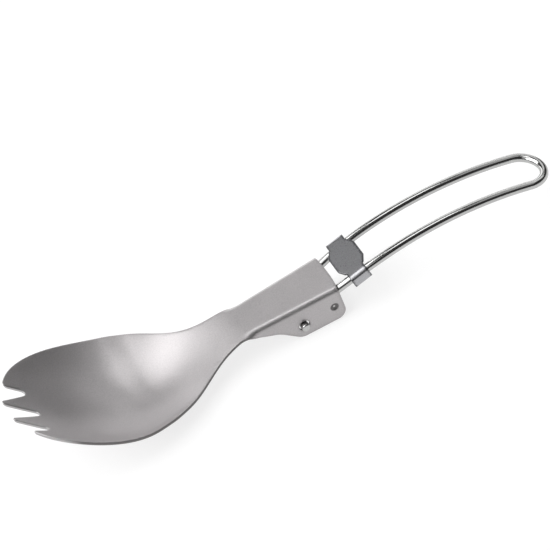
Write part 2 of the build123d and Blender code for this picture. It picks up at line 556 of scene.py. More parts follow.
@dataclass(frozen=True)
class SatinClip:
    """Smooth satin sheet with very fine brushing and painted shade on its cut edges."""

    dark: tuple = (0.375, 0.375, 0.39)
    light: tuple = (0.385, 0.385, 0.40)
    # Dark colour of the painted shade on the cut edges.
    cut: tuple = (0.08, 0.08, 0.085)
    roughness: float = 0.28
    roughness_spread: float = 0.01
    line: float = 0.14 * MM
    lines_run: Lines = Lines.ALONG
    line_depth: float = 0.001 * MM
    line_strength: float = 0.4

    def material(self) -> bpy.types.Material:
        """Builds the node material.

        Returns:
            The material.
        """
        sheet = NodeSheet("satin_clip")
        lines = sheet.noise(sheet.place(), self.line, 2, self.lines_run)
        body = sheet.mixed(sheet.ramp(lines), self.dark, self.light)
        # Painted shade on the cut edges and along the plate's edges, read from the mesh.
        body = sheet.mixed(sheet.attribute(PAINTED_SHADE_ATTRIBUTE), body, self.cut)
        rough = sheet.ramp(lines, spread(self.roughness, self.roughness_spread))
        return sheet.metal(body, rough, lines, self.line_depth, self.line_strength)


# ---------------------------------------------------------------- stamped sheets


@dataclass
class Dimple:
    """A round mark pressed into a sheet from outside.

    Attributes:
        spot: its centre on the flat blank.
        width: its width on the outer face.
        depth: its depth on the outer face.
        bump_width: width of the bump that it raises inside.
        bump: height of that bump.
        dome: how round both are: 1 is a plain bowl, more is flatter at the rim.
    """

    spot: tuple
    width: float
    depth: float
    bump_width: float
    bump: float
    dome: float = 1.2

    def away(self, flat: np.ndarray) -> np.ndarray:
        """Distance of flat points from its centre, in halves of its width."""
        return 2 * np.linalg.norm(flat - self.spot, axis=1) / self.width

    def pressed(self, flat: np.ndarray, share: float) -> np.ndarray:
        """How far it moves the sheet inwards.

        Args:
            flat: points on the flat blank.
            share: 0 on the outer face, 1 on the inner face.

        Returns:
            One distance for each point.
        """
        away = self.away(flat)
        wider = self.width / self.bump_width
        dent = np.clip(1 - away**2, 0, 1) ** self.dome * self.depth
        bump = np.clip(1 - (away * wider) ** 2, 0, 1) ** self.dome * self.bump
        return (1 - share) * dent + share * bump


@dataclass
class StampedSheet:
    """A part cut from flat sheet and formed: a flat blank that is carried onto a formed surface.

    Attributes:
        thickness: the sheet's thickness.
        edge_round: radius that its cut edges are rounded with.
        spacing: distance between the mesh's points.
        edge_glint: strength of the painted highlight on the rounding of the cut edges.
        edge_shadow: strength of the painted shade on the faces along their edges.
        rim_gap: space between the outline and the points inside, in shares of the spacing.
        hole_gap: the same round the holes.
    """

    rim_gap: ClassVar[float] = 0.55
    hole_gap: ClassVar[float] = 0.3

    def outline(self) -> np.ndarray:
        """Closed outline of the flat blank, counter-clockwise."""
        raise NotImplementedError

    def holes(self) -> list:
        """Closed outlines of the blank's holes, clockwise."""
        return []

    def dimples(self) -> list:
        """Marks pressed into the blank."""
        return []

    def fill(self) -> np.ndarray:
        """Points to mesh the blank's inside with."""
        raise NotImplementedError

    def formed(self, flat: np.ndarray) -> np.ndarray:
        """Carries flat points onto the outer face of the formed sheet, in the part's own axes."""
        raise NotImplementedError

    def trim_upright(self, flat: np.ndarray) -> np.ndarray:
        """How far the cut edge stands upright (1) rather than square to the sheet (0) at flat points."""
        return np.zeros(len(flat))

    def placed(self, points: np.ndarray) -> np.ndarray:
        """Carries points from the part's own axes to the table's."""
        raise NotImplementedError

    def normals(self, flat: np.ndarray) -> np.ndarray:
        """Unit normals of the outer face.

        Args:
            flat: points on the flat blank.

        Returns:
            One normal for each point.
        """
        step = 0.01 * MM
        across = self.formed(flat + [0, step]) - self.formed(flat - [0, step])
        along = self.formed(flat + [step, 0]) - self.formed(flat - [step, 0])
        normal = np.cross(along, across)
        return normal / np.linalg.norm(normal, axis=1)[:, None]

    def layer(self, flat: np.ndarray, depth: float) -> np.ndarray:
        """Formed points at a depth into the sheet.

        Args:
            flat: points on the flat blank.
            depth: depth below the outer face; the thickness gives the inner face.

        Returns:
            Rows of points in the part's own axes.
        """
        outer, normal = self.formed(flat), self.normals(flat)
        upright = self.trim_upright(flat)[:, None]
        straight_down = np.zeros_like(normal)
        straight_down[:, 2] = 1 / np.clip(normal[:, 2], 0.2, 1)
        inward = -(upright * straight_down + (1 - upright) * normal)
        points = outer + inward * depth
        share = depth / self.thickness
        for dimple in self.dimples():
            points += inward * dimple.pressed(flat, share)[:, None]
        return points

    def painted_highlight(self, flat: np.ndarray) -> np.ndarray:
        """Painted highlight on the outer face: a spot at the bottom of each mark.

        Args:
            flat: points on the flat blank.

        Returns:
            0 for none to 1 for a full painted highlight, for each point.
        """
        worn = np.zeros(len(flat))
        for dimple in self.dimples():
            # Painted highlight spot at the mark's bottom.
            worn = np.maximum(worn, np.clip(1.0 - 9 * dimple.away(flat) ** 2, 0, 0.8))
        return worn

    def painted_mark_shade(self, flat: np.ndarray) -> np.ndarray:
        """Painted shade on the outer face: a ring on the sides of each mark.

        Args:
            flat: points on the flat blank.

        Returns:
            0 for none to 1 for full painted shade, for each point.
        """
        dark = np.zeros(len(flat))
        for dimple in self.dimples():
            # Painted shade ring on the mark's sides.
            dark = np.maximum(dark, np.clip(4 * (1 - dimple.away(flat) ** 2), 0, 1))
        return dark

    def edge_wear_and_highlight(self, flat: np.ndarray) -> np.ndarray:
        """How worn the cut edge is at flat points, shown with a painted highlight; 0 is as it was cut."""
        return np.zeros(len(flat))

    def edge_rings(self) -> list:
        """How the cut edge is rounded.

        Returns:
            Pairs of inset from the outline and depth below the outer face, from that face to the inner one.
        """
        angles = np.radians([0, 30, 60, 90])
        radius = self.edge_round
        upper = [(radius * (1 - math.sin(a)), radius * (1 - math.cos(a))) for a in angles]
        lower = [(inset, self.thickness - depth) for inset, depth in reversed(upper)]
        return upper + lower

    def blank(self, rims: list) -> tuple:
        """Meshes the flat blank.

        Args:
            rims: the outline and the holes, set in by the rounding of the cut edge.

        Returns:
            The flat points, which start with the rims', and the triangles, counter-clockwise.
        """
        fill = self.fill()
        keep = inside_loop(fill, rims[0])
        keep &= distance_to_loop(fill, rims[0]) > self.rim_gap * self.spacing
        for rim in rims[1:]:
            keep &= ~inside_loop(fill, rim)
            keep &= distance_to_loop(fill, rim) > self.hole_gap * self.spacing
        flat = np.vstack([*rims, fill[keep]])
        edges, start = [], 0
        for rim in rims:
            count = len(rim)
            edges += [(start + i, start + (i + 1) % count) for i in range(count)]
            start += count
        in_mm = [Vector(point) * (1 / MM) for point in flat]
        _, _, faces, origin, _, _ = delaunay_2d_cdt(in_mm, edges, [], 0, 1e-6)
        index = [ids[0] for ids in origin]
        triangles = np.array([[index[i] for i in face] for face in faces])
        centres = flat[triangles].mean(axis=1)
        good = inside_loop(centres, rims[0])
        for rim in rims[1:]:
            good &= ~inside_loop(centres, rim)
        triangles = triangles[good]
        corner = flat[triangles]
        side, other = corner[:, 1] - corner[:, 0], corner[:, 2] - corner[:, 0]
        backwards = side[:, 0] * other[:, 1] - side[:, 1] * other[:, 0] < 0
        triangles[backwards] = triangles[backwards][:, ::-1]
        return flat, triangles

    def mesh(self, name: str) -> bpy.types.Mesh:
        """Builds the sheet: both faces, and the rounded cut edge round the outline and each hole.

        Args:
            name: the mesh's name.

        Returns:
            A closed mesh in the table's axes.
        """
        loops = [self.outline(), *self.holes()]
        turned = [loop_normals(loop) for loop in loops]
        edge = self.edge_rings()
        flat, triangles = self.blank([loop + normal * edge[0][0] for loop, normal in zip(loops, turned)])
        total = len(flat)
        points = [self.layer(flat, 0.0), self.layer(flat, self.thickness)]
        # Worn tines and painted highlights go in the first list, painted shade in the second.
        wear_and_highlight = [self.painted_highlight(flat), np.zeros(total)]
        cut = [self.painted_mark_shade(flat), np.zeros(total)]
        polygons = triangles.tolist() + (triangles[:, ::-1] + total).tolist()
        base, start = 2 * total, 0
        for loop, normal in zip(loops, turned):
            count = len(loop)
            ids = [np.arange(count) + start]
            worn_edge_highlight = self.edge_wear_and_highlight(loop)
            for inset, depth in edge[1:-1]:
                points.append(self.layer(loop + normal * inset, depth))
                rounding = inset / self.edge_round
                # Painted highlight on the edge's rounding and the worn tines; painted shade on the cut face.
                wear_and_highlight.append(np.maximum(worn_edge_highlight, self.edge_glint * rounding))
                cut.append(np.full(count, max(self.edge_shadow, 1 - rounding)))
                ids.append(np.arange(count) + base)
                base += count
            ids.append(np.arange(count) + start + total)
            # Rim rows of both faces: half the worn tines' painted highlight, and painted shade along the
            # edge.
            wear_and_highlight[0][start : start + count] = wear_and_highlight[1][start : start + count] = 0.5 * worn_edge_highlight
            cut[0][start : start + count] = self.edge_shadow
            after = np.roll(np.arange(count), -1)
            for upper, lower in zip(ids[:-1], ids[1:]):
                polygons += np.c_[upper, lower, lower[after], upper[after]].tolist()
            start += count
        mesh = bpy.data.meshes.new(name)
        mesh.from_pydata(self.placed(np.vstack(points)).tolist(), [], polygons)
        mesh.validate()
        mesh.shade_smooth()
        for label, values in ((WEAR_AND_HIGHLIGHT_ATTRIBUTE, wear_and_highlight), (PAINTED_SHADE_ATTRIBUTE, cut)):
            attribute = mesh.attributes.new(label, "FLOAT", "POINT")
            attribute.data.foreach_set("value", np.concatenate(values).astype(np.float32))
        return mesh

    def piece(self, name: str, material: bpy.types.Material) -> bpy.types.Object:
        """Makes the object, with its flat areas shaded evenly.

        Args:
            name: the piece's name.
            material: its finish.

        Returns:
            The object.
        """
        made = put_in_scene(name, self.mesh(name))
        made.data.materials.append(material)
        shading = made.modifiers.new("even_shading", "WEIGHTED_NORMAL")
        shading.mode = "FACE_AREA"
        shading.keep_sharp = False
        return made


@dataclass
class SporkBody(StampedSheet):
    """The stamped body: bowl, tines and the hinge channel whose two flanges are folded down.

    The blank's first coordinate runs along the neck from the pivot, its second across the sheet, measured
    along the outer face round the folds.

    Attributes:
        rear_edge: the flange's lower edge behind the boss, in mm along the neck and upwards.
        waist: the outline from the flange to the bowl, in mm on the blank.
        bowl_side: the outline past the bowl's widest place, in mm on the blank.
        toe_heading: where the outline leads from there.
        tines: outer tip, outer notch, inner tip and middle notch, in mm on the blank.
        trim_turns: where the trimming of the edge changes from upright to square.
        tine_roots: where the worn, brighter tine edges start.
        blend: length that either takes.
    """

    frame: NeckFrame
    pivot_depth: float
    thickness: float = 0.92 * MM
    edge_round: float = 0.24 * MM
    spacing: float = 0.7 * MM
    edge_glint: float = 0.5
    edge_shadow: float = 0.2
    cut_spacing: float = 0.42 * MM
    tine_detail: float = 0.6
    bowl_depth: float = 7.5 * MM
    slope_start: float = -15 * MM
    floor_start: float = -46 * MM
    toe_start: float = -50 * MM
    toe_slope: float = 1.11
    toe_softness: float = 20 * MM
    cup_start: float = -18 * MM
    cup_full: float = -43.5 * MM
    cup: float = 17.2
    fold_starts: float = -19 * MM
    fold_full: float = -12.5 * MM
    width_at_slope: float = 13.2 * MM
    width_at_end: float = 15.9 * MM
    plate_end: float = 12.9 * MM
    end_bow: float = 0.5 * MM
    flange_depth: float = 10.8 * MM
    flange_end: float = 12.5 * MM
    flange_corner: float = 2.8 * MM
    fold_radius: float = 1.82 * MM
    # Painted highlight along the folds: its width and its strength.
    fold_band: float = 0.9 * MM
    fold_highlight: float = 0.4
    # How worn the tines' edges are, shown with a painted highlight.
    tine_wear_and_highlight: float = 0.5
    boss: float = 3.95 * MM
    hole: float = 1.6 * MM
    dimple_x: float = 9.65 * MM
    dimple_z: float = -5.85 * MM
    dimple_width: float = 2.7 * MM
    dimple_depth: float = 0.5 * MM
    bump_width: float = 1.5 * MM
    bump_height: float = 0.12 * MM
    trim_turns: float = -25 * MM
    tine_roots: float = -70 * MM
    blend: float = 6 * MM
    rear_edge: tuple = ((-4.9, -7.8), (-7.4, -5.65), (-10.1, -4.35), (-13.6, -2.65))
    waist: tuple = ((-17.0, 7.15), (-20.0, 7.3), (-24.1, 8.2), (-31.6, 11.8), (-39.0, 16.7), (-46.4, 20.1))
    bowl_side: tuple = ((-57.5, 22.3), (-68.7, 20.6), (-76.1, 16.7))
    toe_heading: tuple = (-1, -0.75)
    tines: tuple = ((-81.3, 10.5), (-74.4, 8.6), (-85.5, 3.7), (-73.6, 0.0))
    tip_round: float = 0.9 * MM
    notch_round: float = 1.2 * MM

    def width(self, x: np.ndarray) -> np.ndarray:
        """Outside width of the channel at places along the neck."""
        share = (x - self.slope_start) / (self.plate_end - self.slope_start)
        return self.width_at_slope + np.clip(share, -0.3, 1) * (self.width_at_end - self.width_at_slope)

    def folded(self, x: np.ndarray) -> np.ndarray:
        """How far the flanges are folded down at places along the neck: 0 is flat, 1 is upright."""
        return smooth_step((x - self.fold_starts) / (self.fold_full - self.fold_starts))

    def across_flange(self, x: float, z: float) -> float:
        """The blank's second coordinate of a spot on the flange, from its height in the neck's axes."""
        fold = self.fold_radius * (math.pi / 2 - 2)
        return float(self.width(np.array(x))) / 2 + fold - z

    def bowl_height(self, x: np.ndarray, y: np.ndarray) -> np.ndarray:
        """Height of the bowl's inner face.

        Args:
            x: places along the neck.
            y: places across it.

        Returns:
            One height for each place.
        """
        fall = self.bowl_depth * smooth_step((self.slope_start - x) / (self.slope_start - self.floor_start))
        run = np.maximum(0.0, self.toe_start - x)
        rise = self.toe_slope * (np.hypot(run, self.toe_softness) - self.toe_softness)
        cupped = smooth_step((self.cup_start - x) / (self.cup_start - self.cup_full))
        return rise - fall + self.cup * cupped * y * y

    def formed(self, flat: np.ndarray) -> np.ndarray:
        """Carries blank points onto the outer face.

        Args:
            flat: points on the flat blank.

        Returns:
            Rows of points in the neck's axes.
        """
        x, q = flat.T
        fold = np.maximum(self.folded(x), 1e-4)
        starts = self.width(x) / 2 - self.fold_radius
        beyond = np.maximum(np.abs(q) - starts, 0)
        bend_length = self.fold_radius * math.pi / 2
        radius = self.fold_radius / fold
        angle = np.minimum(beyond, bend_length) / radius
        straight = np.maximum(beyond - bend_length, 0)
        out = np.minimum(np.abs(q), starts) + radius * np.sin(angle) + straight * np.cos(angle)
        down = radius * (1 - np.cos(angle)) + straight * np.sin(angle)
        y = np.sign(q) * out
        return np.c_[x, y, self.bowl_height(x, y) - down]

    def trim_upright(self, flat: np.ndarray) -> np.ndarray:
        """The bowl's rim is trimmed upright, the channel's edges square to the sheet."""
        return 1 - smooth_step((flat[:, 0] - self.trim_turns) / self.blend)

    def placed(self, points: np.ndarray) -> np.ndarray:
        """Carries points from the neck's axes to the table's."""
        return self.frame.place(points)

    def half_outline(self) -> np.ndarray:
        """One side of the outline, from the plate's end round flange and bowl to the middle notch.

        Returns:
            Rows of points on the blank.
        """
        gap = self.cut_spacing
        boss_q = self.across_flange(0, -self.pivot_depth)
        end_q = self.across_flange(self.flange_end, -self.flange_depth)
        fold_q = float(self.width(np.array(self.plate_end))) / 2
        share = np.linspace(0, 1, 19)[:, None]
        plate_edge = np.c_[self.plate_end - self.end_bow * share**2, fold_q * share]
        shoulder = (float(plate_edge[-1, 0]), fold_q)
        end_corner = (self.flange_end, end_q)
        lower_corner = rounded_corner(shoulder, end_corner, (0, boss_q + self.boss), self.flange_corner, gap)
        under_boss = arc((0, boss_q), self.boss, math.pi / 2, math.radians(135), gap)
        rear = [tuple(under_boss[-1])]
        rear += [(x * MM, self.across_flange(x * MM, z * MM)) for x, z in self.rear_edge]
        rear += [(x * MM, q * MM) for x, q in self.waist + self.bowl_side]
        flank = curve_through(rear, (-1, -1), self.toe_heading, gap)
        outer_tip, outer_notch, inner_tip, middle_notch = np.array(self.tines) * MM
        heading = np.array(self.toe_heading) / math.hypot(*self.toe_heading)
        toe = self.arc_from(np.array(self.bowl_side[-1]) * MM, heading, outer_tip, gap)
        ways = [toe[-4], outer_tip, outer_notch, inner_tip, middle_notch, inner_tip * [1, -1]]
        rounds = [self.tip_round, self.notch_round] * 2
        outer, notch, inner, middle = [
            rounded_corner(before, corner, after, radius, gap * self.tine_detail)
            for before, corner, after, radius in zip(ways, ways[1:], ways[2:], rounds)
        ]
        toe = toe[np.linalg.norm(toe - outer_tip, axis=1) > np.linalg.norm(outer[0] - outer_tip) + gap / 2]
        middle = middle[: len(middle) // 2 + 1]
        rows = [plate_edge, lower_corner, under_boss, flank[1:], toe[1:], outer, notch, inner, middle]
        return evenly(np.vstack(rows), gap)

    @staticmethod
    def arc_from(start: np.ndarray, heading: np.ndarray, end: np.ndarray, spacing: float) -> np.ndarray:
        """Arc that leaves a point along a heading and ends at another point.

        Args:
            start: its first point.
            heading: its unit direction there.
            end: its last point.
            spacing: rough distance between the points.

        Returns:
            Points of the arc, both ends included.
        """
        chord = end - start
        side = np.array([-heading[1], heading[0]])
        lean = chord @ side
        radius = (chord @ chord) / (2 * lean)
        centre = start + side * radius
        return short_arc(centre, abs(radius), start - centre, end - centre, spacing)

    def outline(self) -> np.ndarray:
        """The whole outline: one half and its mirror.

        Returns:
            Rows of points, counter-clockwise.
        """
        half = self.half_outline()
        middle = half[:, 1] < 1e-6
        other = half[~middle][::-1] * [1, -1]
        return np.vstack([half, other])

    def holes(self) -> list:
        """The pivot's hole in each flange.

        Returns:
            Two rings of points, clockwise.
        """
        boss_q = self.across_flange(0, -self.pivot_depth)
        edge = ring(self.hole, 32, -1)
        return [edge + [0, boss_q], edge - [0, boss_q]]

    def painted_highlight(self, flat: np.ndarray) -> np.ndarray:
        """Painted highlight along the folds as well as in the marks.

        Args:
            flat: points on the flat blank.

        Returns:
            0 for none to 1 for a full painted highlight, for each point.
        """
        x, q = flat.T
        middle = self.width(x) / 2 + self.fold_radius * (math.pi / 4 - 1.2)
        band = np.exp(-(((np.abs(q) - middle) / self.fold_band) ** 2))
        return np.maximum(super().painted_highlight(flat), self.fold_highlight * self.folded(x) * band)

    def edge_wear_and_highlight(self, flat: np.ndarray) -> np.ndarray:
        """Worn at the tines, shown with a painted highlight, and as cut elsewhere."""
        return self.tine_wear_and_highlight * smooth_step((self.tine_roots - flat[:, 0]) / self.blend)

    def dimples(self) -> list:
        """The detent's dimple in each flange.

        Returns:
            One mark for each side.
        """
        q = self.across_flange(self.dimple_x, self.dimple_z)
        sizes = (self.dimple_width, self.dimple_depth, self.bump_width, self.bump_height)
        return [Dimple((self.dimple_x, side * q), *sizes) for side in (1, -1)]

    def fill(self) -> np.ndarray:
        """Rows along the folds in the channel, rings round each dimple and a lattice in the bowl.

        Returns:
            Rows of points on the blank.
        """
        step = self.spacing
        bend_length = self.fold_radius * math.pi / 2
        flange_rows = np.arange(1, 18) * 0.62 * MM + bend_length
        offsets = np.r_[np.linspace(0, bend_length, 9), flange_rows]
        rows = []
        for x in np.arange(-21 * MM, self.plate_end, 0.55 * MM):
            starts = float(self.width(np.array(x))) / 2 - self.fold_radius
            inner = np.linspace(-starts, starts, 18)[1:-1]
            q = np.r_[inner, starts + offsets, -starts - offsets]
            rows.append(np.c_[np.full(len(q), x), q])
        channel = np.vstack(rows)
        rings = []
        radii = np.array([0.0, 0.22, 0.45, 0.7, 0.95, 1.15, 1.3, 1.42, 1.65]) * MM
        cleared, detail = 1.85 * MM, 0.06 * MM
        for dimple in self.dimples():
            channel = channel[np.linalg.norm(channel - dimple.spot, axis=1) > cleared]
            rings += [ring(radius, max(1, int(radius / detail))) + dimple.spot for radius in radii]
        x = np.arange(-88 * MM, -21.4 * MM, step * 0.866)
        y = np.arange(-24 * MM, 24 * MM, step)
        lattice = [np.c_[np.full(len(y), here), y + (k % 2) * step / 2] for k, here in enumerate(x)]
        return np.vstack([channel, *rings, *lattice])


@dataclass
class LockClip(StampedSheet):
    """The sliding clip: an octagonal plate whose two arms are folded round the handle's legs."""

    frame: NeckFrame
    handle: "WireHandle"
    thickness: float = 0.7 * MM
    edge_round: float = 0.2 * MM
    spacing: float = 0.45 * MM
    edge_glint: float = 0.0
    # Strong painted shade along the plate's edges and on its cut faces.
    edge_shadow: float = 0.8
    place: float = 20.7 * MM
    arm: float = 5.6 * MM
    lobe: float = 8.8 * MM
    lobe_width: float = 5.8 * MM
    shoulder_width: float = 10.6 * MM
    shoulder_step: float = 0.5 * MM
    clearance: float = 0.2 * MM
    fold_radius: float = 1.4 * MM
    lip: float = 1.7 * MM
    corner_round: float = 0.35 * MM

    @property
    def half_width(self) -> float:
        """Half of the clip's outside width."""
        return self.handle.half_gap + self.handle.diameter / 2 + self.clearance + self.thickness

    @property
    def half_height(self) -> float:
        """Height of the plate's outer face above the wire's centre."""
        return self.handle.diameter / 2 + self.clearance + self.thickness

    def spans(self) -> list:
        """The section's parts, from the middle.

        Returns:
            Lengths of half the plate, the upper fold, the side, the lower fold and the lip.
        """
        bend = self.fold_radius * math.pi / 2
        side = 2 * (self.half_height - self.fold_radius)
        return [self.half_width - self.fold_radius, bend, side, bend, self.lip - self.fold_radius]

    def outline(self) -> np.ndarray:
        """The octagonal plate with its two arms, with slightly rounded corners.

        Returns:
            Rows of points, counter-clockwise.
        """
        reach = sum(self.spans())
        arm, lobe = self.arm / 2, self.lobe / 2
        wide, narrow = self.shoulder_width / 2, self.lobe_width / 2
        step = self.shoulder_step
        quarter = [(lobe, narrow), (arm + step, wide - step / 2), (arm, wide + step / 2), (arm, reach)]
        upper = quarter + [(-u, q) for u, q in reversed(quarter)]
        sharp = upper + [(-u, -q) for u, q in upper]
        around = zip(sharp[-1:] + sharp[:-1], sharp, sharp[1:] + sharp[:1])
        rounded = np.vstack([rounded_corner(*three, self.corner_round, 0.12 * MM) for three in around])
        return evenly(np.vstack([rounded, rounded[:1]]), 0.35 * MM)[:-1]

    def fill(self) -> np.ndarray:
        """A grid whose rows follow the folds.

        Returns:
            Rows of points on the blank.
        """
        spans = self.spans()
        marks = [np.linspace(0, spans[0], 17)]
        start = spans[0]
        for length, count in zip(spans[1:], (9, 4, 9, 2)):
            marks.append(start + np.linspace(0, length, count)[1:])
            start += length
        q = np.concatenate(marks)
        q = np.r_[-q[:0:-1], q]
        u = np.linspace(-self.lobe / 2, self.lobe / 2, 23)
        return np.array([(along, across) for along in u for across in q])

    def formed(self, flat: np.ndarray) -> np.ndarray:
        """Carries blank points onto the outer face.

        Args:
            flat: points on the flat blank.

        Returns:
            Rows of points in the clip's axes: along the wire, across and up.
        """
        u, q = flat.T
        plate, bend, side, _, _ = self.spans()
        r, top = self.fold_radius, self.half_height
        s = np.abs(q)
        first = np.clip(s - plate, 0, bend) / r
        down = np.clip(s - plate - bend, 0, side)
        second = np.clip(s - plate - bend - side, 0, bend) / r
        back = np.maximum(s - plate - 2 * bend - side, 0)
        y = np.minimum(s, plate) + r * np.sin(first) - r * (1 - np.cos(second)) - back
        z = top - r * (1 - np.cos(first)) - down - r * np.sin(second)
        return np.c_[u, np.sign(q) * y, z]

    def placed(self, points: np.ndarray) -> np.ndarray:
        """Carries points from the clip's axes to the table's.

        Args:
            points: rows of points in the clip's axes.

        Returns:
            Rows of points in the table's axes.
        """
        centre = self.handle.arch_point(self.place, 0.0)
        tilt = self.handle.tilt_at(self.place)
        u, y, z = points.T
        x = centre[0] + u * math.cos(tilt) - z * math.sin(tilt)
        height = centre[2] + u * math.sin(tilt) + z * math.cos(tilt)
        return self.frame.place(np.c_[x, y, height])


# ---------------------------------------------------------------- wire handle


class SweepTree(NodeTree):
    """Geometry Nodes tree that sweeps a round wire along a line and rounds its ends."""

    def __init__(self) -> None:
        """Makes the tree with its named inputs."""
        super().__init__(bpy.data.node_groups.new("wire_sweep", "GeometryNodeTree"))
        self.socket("Line", "NodeSocketGeometry")
        self.diameter = self.socket("Diameter", "NodeSocketFloat")
        self.sides = self.socket("Sides", "NodeSocketInt")
        self.rounding = self.socket("End rounding", "NodeSocketFloat")
        self.material = self.socket("Material", "NodeSocketMaterial")
        self.socket("Wire", "NodeSocketGeometry", "OUTPUT")
        self.given = self.tree.nodes.new("NodeGroupInput").outputs
        self.build()

    def socket(self, name: str, kind: str, way: str = "INPUT") -> bpy.types.NodeTreeInterfaceSocket:
        """Adds one of the tree's own inputs or outputs."""
        return self.tree.interface.new_socket(name, in_out=way, socket_type=kind)

    def then(self, kind: str, values: dict, **settings: object) -> Socket:
        """Adds a node and gives its first output."""
        return self.add(kind, values, **settings).outputs[0]

    def along_curve(self, measure: str) -> Socket:
        """How far along its curve each point lies, as a Length or as a Factor of the whole."""
        return self.add("GeometryNodeSplineParameter").outputs[measure]

    def named(self, curve: Socket, name: str, value: Socket) -> Socket:
        """Stores a value on a curve's points.

        Args:
            curve: the curve.
            name: the value's name.
            value: the value.

        Returns:
            The curve with the value.
        """
        values = {"Geometry": curve, "Name": name, "Value": value}
        return self.then("GeometryNodeStoreNamedAttribute", values, data_type="FLOAT", domain="POINT")

    def end_scale(self) -> Socket:
        """Works out the quarter round of the wire's two ends.

        Returns:
            Scale of the section at each place along the wire.
        """
        along = self.along_curve("Length")
        total = self.add("GeometryNodeSplineLength").outputs["Length"]
        to_end = self.maths("MINIMUM", along, self.maths("SUBTRACT", total, along))
        rounding = self.given["End rounding"]
        left = self.maths("SUBTRACT", 1.0, self.maths("DIVIDE", to_end, rounding))
        left = self.maths("MAXIMUM", left, 0.0)
        rise = self.maths("SQRT", self.maths("SUBTRACT", 1.0, self.maths("MULTIPLY", left, left)))
        share = self.maths("DIVIDE", rounding, self.maths("DIVIDE", self.given["Diameter"], 2.0))
        return self.maths("SUBTRACT", 1.0, self.maths("MULTIPLY", share, self.maths("SUBTRACT", 1.0, rise)))

    def build(self) -> None:
        """Joins the nodes: line to curve, section round it, smooth shading, realised, with its material."""
        curve = self.then("GeometryNodeMeshToCurve", {"Mesh": self.given["Line"]})
        line = self.named(curve, ALONG_ATTRIBUTE, self.along_curve("Factor"))
        radius = self.maths("DIVIDE", self.given["Diameter"], 2.0)
        sizes = {"Resolution": self.given["Sides"], "Radius": radius}
        circle = self.then("GeometryNodeCurvePrimitiveCircle", sizes)
        turn = self.maths("MULTIPLY", self.along_curve("Factor"), 2.0)
        folded = self.maths("ABSOLUTE", self.maths("SUBTRACT", turn, 1.0))
        section = self.named(circle, AROUND_ATTRIBUTE, folded)
        parts = {"Curve": line, "Profile Curve": section, "Scale": self.end_scale(), "Fill Caps": True}
        wire = self.then("GeometryNodeCurveToMesh", parts)
        wire = self.then("GeometryNodeSetShadeSmooth", {"Geometry": wire})
        wire = self.then("GeometryNodeRealizeInstances", {"Geometry": wire})
        wire = self.then("GeometryNodeSetMaterial", {"Geometry": wire, "Material": self.given["Material"]})
        self.add("NodeGroupOutput", {"Wire": wire})

    def swept(self, line: bpy.types.Object, **values: object) -> bpy.types.Mesh:
        """Runs the tree on a line.

        Args:
            line: object whose mesh is one open line.
            values: diameter, sides, rounding and material.

        Returns:
            The swept mesh; the line keeps no modifier.
        """
        modifier = line.modifiers.new("sweep", "NODES")
        modifier.node_group = self.tree
        for key, value in values.items():
            modifier[getattr(self, key).identifier] = value
        graph = bpy.context.evaluated_depsgraph_get()
        mesh = bpy.data.meshes.new_from_object(line.evaluated_get(graph), depsgraph=graph)
        line.modifiers.remove(modifier)
        return mesh


